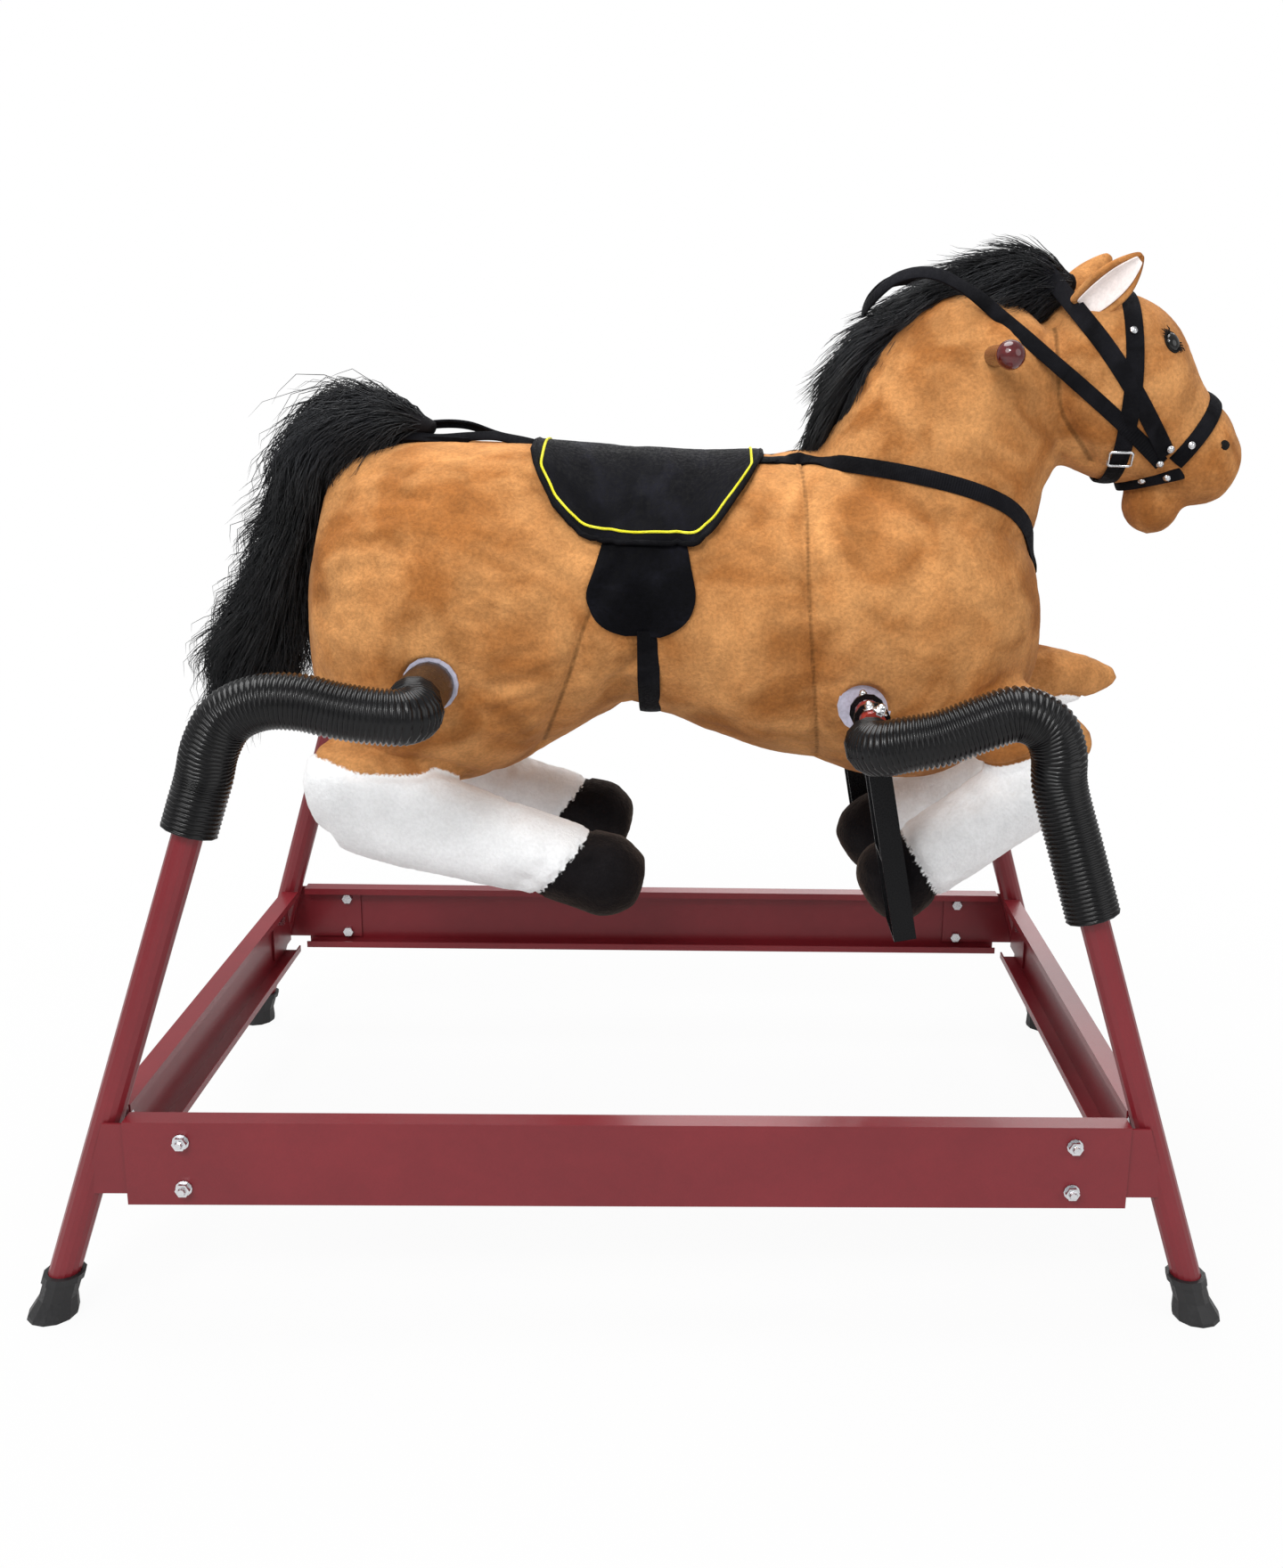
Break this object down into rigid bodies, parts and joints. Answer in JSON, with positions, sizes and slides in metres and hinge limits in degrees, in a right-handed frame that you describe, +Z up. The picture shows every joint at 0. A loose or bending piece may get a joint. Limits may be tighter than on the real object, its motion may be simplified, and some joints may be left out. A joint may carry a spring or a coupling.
{
  "type": "plush spring horse",
  "caption": "Stuffed plush rocking horse on cross bars, hung by hose-covered springs from the splayed legs of a bolted steel floor frame, with handle and stirrups.",
  "frame": {"origin": "middle of the object's box, on the floor under its feet", "axes": "+X towards the horse's head, +Y towards its left side, +Z up"},
  "size_m": [1.0161, 0.619, 0.8635],
  "materials": {
    "red_paint": "glossy dark red powder coat",
    "black_rubber": "matt moulded rubber",
    "bright_zinc": "bright zinc plate",
    "spring_steel": "oiled spring wire",
    "black_hose_plastic": "glossy corrugated plastic",
    "dark_sleeve_plastic": "satin dark plastic",
    "pale_grommet_plastic": "satin pale plastic",
    "bare_wood": "bare sawn wood",
    "cherry_lacquer": "gloss cherry lacquer",
    "black_steel": "semi-gloss black paint",
    "tan_plush": "short tan plush",
    "white_plush": "short white plush",
    "black_pile": "long black pile",
    "black_velour": "black velour with yellow piping",
    "black_webbing": "black webbing"
  },
  "bodies": {
    "frame": {"leg_rear_right": "red_paint", "leg_rear_left": "red_paint", "leg_front_right": "red_paint", "leg_front_left": "red_paint", "foot_rear_right": "black_rubber", "foot_rear_left": "black_rubber", "foot_front_right": "black_rubber", "foot_front_left": "black_rubber", "side_rail_right": "red_paint", "side_rail_left": "red_paint", "end_rail_rear": "red_paint", "end_rail_front": "red_paint", "side_bolt_upper_rear_right": "bright_zinc", "side_bolt_lower_rear_right": "bright_zinc", "side_bolt_upper_rear_left": "bright_zinc", "side_bolt_lower_rear_left": "bright_zinc", "side_bolt_upper_front_right": "bright_zinc", "side_bolt_lower_front_right": "bright_zinc", "side_bolt_upper_front_left": "bright_zinc", "side_bolt_lower_front_left": "bright_zinc", "end_bolt_rear_right": "bright_zinc", "end_bolt_rear_left": "bright_zinc", "end_bolt_front_right": "bright_zinc", "end_bolt_front_left": "bright_zinc"},
    "springs": {"spring_rear_right": "spring_steel", "spring_rear_left": "spring_steel", "spring_front_right": "spring_steel", "spring_front_left": "spring_steel"},
    "hoses": {"hose_rear_right": "black_hose_plastic", "hose_rear_left": "black_hose_plastic", "hose_front_right": "black_hose_plastic", "hose_front_left": "black_hose_plastic"},
    "horse": {"rear_bar": "red_paint", "front_bar": "red_paint", "rear_bar_sleeve_right": "dark_sleeve_plastic", "rear_bar_sleeve_left": "dark_sleeve_plastic", "grommet_rear_right": "pale_grommet_plastic", "grommet_rear_left": "pale_grommet_plastic", "grommet_front_right": "pale_grommet_plastic", "grommet_front_left": "pale_grommet_plastic", "inner_beam": "bare_wood", "torso": "tan_plush", "neck_and_head": "tan_plush", "ear_right": "tan_plush", "ear_left": "tan_plush", "mane": "black_pile", "tail": "black_pile", "rear_leg_right": "white_plush", "rear_leg_left": "white_plush", "front_leg_right": "white_plush", "front_leg_left": "white_plush", "saddle": "black_velour", "girth": "black_webbing", "breast_strap": "black_webbing", "crupper": "black_webbing", "bridle": "black_webbing", "reins": "black_webbing", "handle": "cherry_lacquer"},
    "stirrup_right": {"stirrup_right": "black_steel"},
    "stirrup_left": {"stirrup_left": "black_steel"}
  },
  "joints": [
    {"name": "bounce", "type": "slide", "parent": "frame", "child": "springs", "axis": [0, 0, 1], "range_m": [-0.07, 0.04], "stiffness_N_per_m": 4000, "springref_m": 0.0376, "deforming": ["spring_rear_right", "spring_rear_left", "spring_front_right", "spring_front_left"]},
    {"name": "swing", "type": "slide", "parent": "springs", "child": "hoses", "axis": [1, 0, 0], "range_m": [-0.05, 0.05], "stiffness_N_per_m": 2000, "deforming": ["hose_rear_right", "hose_rear_left", "hose_front_right", "hose_front_left"]},
    {"name": "rock", "type": "hinge", "parent": "hoses", "child": "horse", "pos_m": [-0.01725, 0, 0.48], "axis": [0, 1, 0], "range_deg": [-12, 12], "stiffness_Nm_per_rad": 150, "springref_deg": -2.78},
    {"name": "stirrup_right_swing", "type": "hinge", "parent": "horse", "child": "stirrup_right", "pos_m": [0.16625, -0.156, 0.472], "axis": [0, 1, 0], "range_deg": [-30, 40]},
    {"name": "stirrup_left_swing", "type": "hinge", "parent": "horse", "child": "stirrup_left", "pos_m": [0.16625, 0.156, 0.472], "axis": [0, 1, 0], "range_deg": [-30, 40]}
  ]
}
